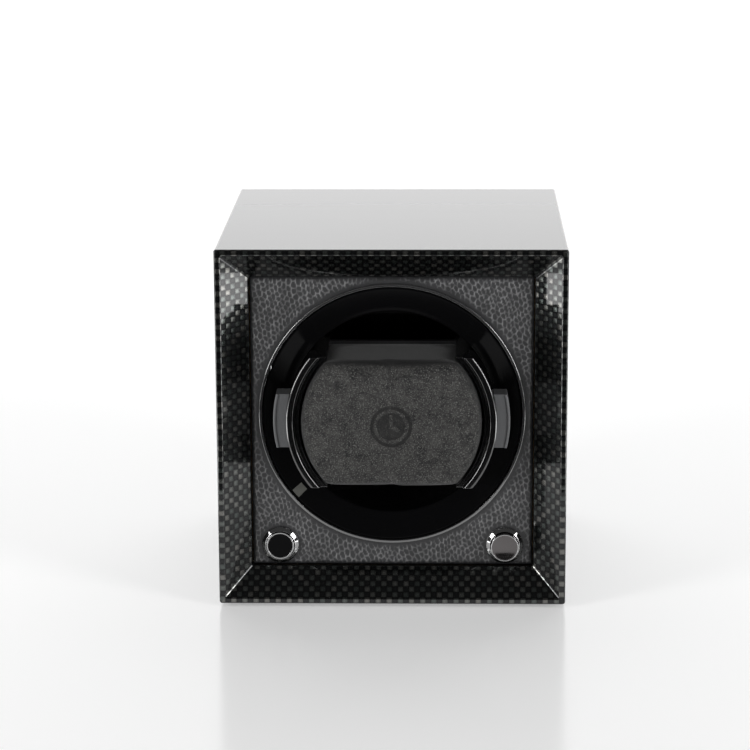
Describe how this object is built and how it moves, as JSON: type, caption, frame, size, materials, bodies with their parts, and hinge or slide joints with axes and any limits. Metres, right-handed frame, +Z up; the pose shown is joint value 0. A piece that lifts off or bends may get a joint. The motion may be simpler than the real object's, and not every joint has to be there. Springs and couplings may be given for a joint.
{
  "type": "watch winder box",
  "caption": "Desktop watch winder: square lacquered box with a leather front, a motor-driven round cup with a pull-out watch cushion, and two push buttons.",
  "frame": {"origin": "middle of the base pad's underside", "axes": "+Z up, the front with the cup and buttons faces -Y, +X is to the right as seen from the front"},
  "size_m": [0.12, 0.132, 0.1265],
  "materials": {
    "carbon_lacquer": "black plain-weave carbon look under clear gloss lacquer",
    "raw_wood": "unfinished fibreboard and softwood",
    "leather": "pebbled, semi-matt",
    "chrome": "polished",
    "gloss_black": "polished black",
    "matte_black": "fine satin",
    "grey_plastic": "satin",
    "white_plastic": "satin",
    "microfibre": "brushed suede-like nap",
    "foam": "open-cell foam",
    "felt": "dense black felt",
    "steel": "zinc plated",
    "aluminium": "milled",
    "brass": "turned",
    "belt_rubber": "matt",
    "circuit_board": "solder mask over glass laminate",
    "wire_insulation": "smooth",
    "button_metal": "dark polished"
  },
  "bodies": {
    "case": {"top_board": "carbon_lacquer", "bottom_board": "carbon_lacquer", "left_board": "carbon_lacquer", "right_board": "carbon_lacquer", "corner_blocks": "raw_wood", "panel_battens": "raw_wood", "front_panel": "raw_wood", "leather_facing": "leather", "bezel_ring": "gloss_black", "panel_screws": "steel", "plate_standoffs": "aluminium", "mechanism_plate": "aluminium", "plate_screws": "steel", "bearing_block": "aluminium", "bearing_block_screws": "steel", "bearing_outer_races": "steel", "bearing_balls": "steel", "gear_motor_case": "steel", "motor_can": "steel", "motor_screws": "steel", "drive_belt": "belt_rubber", "control_board": "circuit_board", "board_spacers": "white_plastic", "board_components": "matte_black", "board_connectors": "white_plastic", "board_screws": "steel", "button_wires": "wire_insulation", "motor_wires": "matte_black", "power_wires": "wire_insulation", "back_cover": "matte_black", "back_cover_screws": "steel", "power_jack": "matte_black", "power_jack_pin": "steel", "power_jack_nut": "steel", "base_pad": "felt", "left_button_bezel": "chrome", "right_button_bezel": "chrome", "button_nuts": "steel", "button_switches": "matte_black", "left_button_spring": "steel", "right_button_spring": "steel"},
    "rotor": {"rotor_cup": "gloss_black", "index_mark": "grey_plastic", "rotor_hub": "brass", "hub_screws": "steel", "rotor_shaft": "steel", "rotor_pulley": "white_plastic", "spacer_sleeves": "aluminium", "bearing_inner_races": "steel", "retaining_clip": "steel"},
    "motor_spindle": {"motor_shaft": "steel", "motor_pulley": "white_plastic"},
    "holder": {"holder_frame": "gloss_black", "cushion_back_plate": "matte_black", "cushion_core": "foam", "cushion_cover": "microfibre", "grip_tab_left": "grey_plastic", "grip_tab_right": "grey_plastic"},
    "left_button": {"left_button_cap": "gloss_black"},
    "right_button": {"right_button_cap": "button_metal"}
  },
  "joints": [
    {"name": "rotor_spin", "type": "hinge", "parent": "case", "child": "rotor", "pos_m": [0, 0, 0.0669], "axis": [0, 1, 0], "continuous": true},
    {"name": "motor_spin", "type": "hinge", "parent": "case", "child": "motor_spindle", "pos_m": [0, 0, 0.0285], "axis": [0, 1, 0], "continuous": true},
    {"name": "holder_pull_out", "type": "slide", "parent": "rotor", "child": "holder", "axis": [0, -1, 0], "range_m": [0, 0.06]},
    {"name": "left_button_press", "type": "slide", "parent": "case", "child": "left_button", "axis": [0, 1, 0], "range_m": [0, 0.0012], "stiffness_N_per_m": 300, "deforming": ["left_button_spring"]},
    {"name": "right_button_press", "type": "slide", "parent": "case", "child": "right_button", "axis": [0, 1, 0], "range_m": [0, 0.0015], "stiffness_N_per_m": 300, "deforming": ["right_button_spring"]}
  ],
  "couplings": [
    {"joint": "motor_spin", "follows": "rotor_spin", "ratio": 4}
  ]
}
